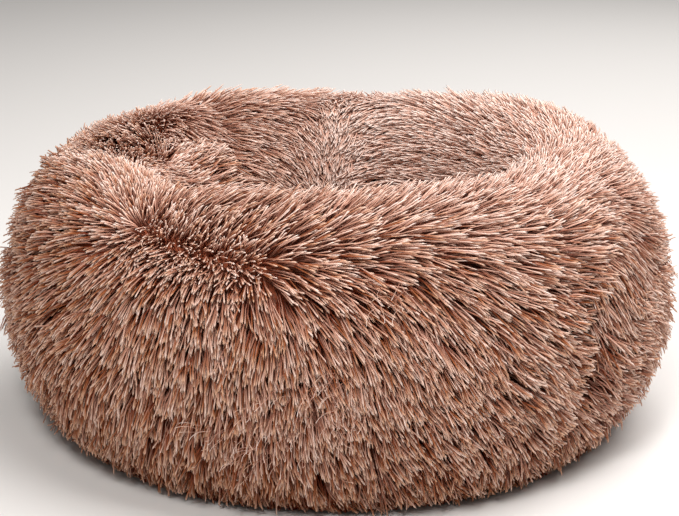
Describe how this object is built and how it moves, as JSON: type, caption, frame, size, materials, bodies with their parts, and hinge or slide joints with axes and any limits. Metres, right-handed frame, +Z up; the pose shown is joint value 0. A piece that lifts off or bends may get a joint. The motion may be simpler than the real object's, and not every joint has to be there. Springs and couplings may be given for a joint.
{
  "type": "donut pet bed",
  "caption": "Round plush pet bed: a raised fibre-filled ring around a sunken round nest, on a flat non-slip base with a zip underneath.",
  "frame": {"origin": "on the floor, below the centre of the ring", "axes": "+Z up, +X to the right and -Y to the front as the bed is seen in the picture"},
  "size_m": [0.4988, 0.4988, 0.2128],
  "materials": {
    "fur": "matte",
    "nest_fur": "matte",
    "liner": "matte",
    "fibre": "matte",
    "base_cloth": "matte",
    "binding": "matte",
    "zip_tape": "matte",
    "zip_row": "satin",
    "metal": "satin",
    "label": "matte"
  },
  "bodies": {
    "bed": {"fur_panel_front": "fur", "fur_panel_rear": "fur", "centre_panel": "nest_fur", "bolster_liner_top": "liner", "bolster_liner_bottom": "liner", "bolster_fill": "fibre", "pad_liner_top": "liner", "pad_liner_bottom": "liner", "pad_fill": "fibre", "base_panel_front": "base_cloth", "base_panel_rear": "base_cloth", "base_wadding_front": "fibre", "base_wadding_rear": "fibre", "base_binding": "binding", "zip_tape_front": "zip_tape", "zip_tape_rear": "zip_tape", "zip_row_front": "zip_row", "zip_row_rear": "zip_row", "zip_top_stop": "metal", "zip_bottom_stop": "metal", "care_label": "label"},
    "slider": {"zip_slider": "metal"},
    "pull": {"zip_pull": "metal"}
  },
  "joints": [
    {"name": "zip_slide", "type": "slide", "parent": "bed", "child": "slider", "axis": [1, 0, 0], "range_m": [0, 0.28]},
    {"name": "pull_turn", "type": "hinge", "parent": "slider", "child": "pull", "pos_m": [-0.14, 0.06, 0.0023], "axis": [0, 1, 0], "range_deg": [0, 180]}
  ]
}
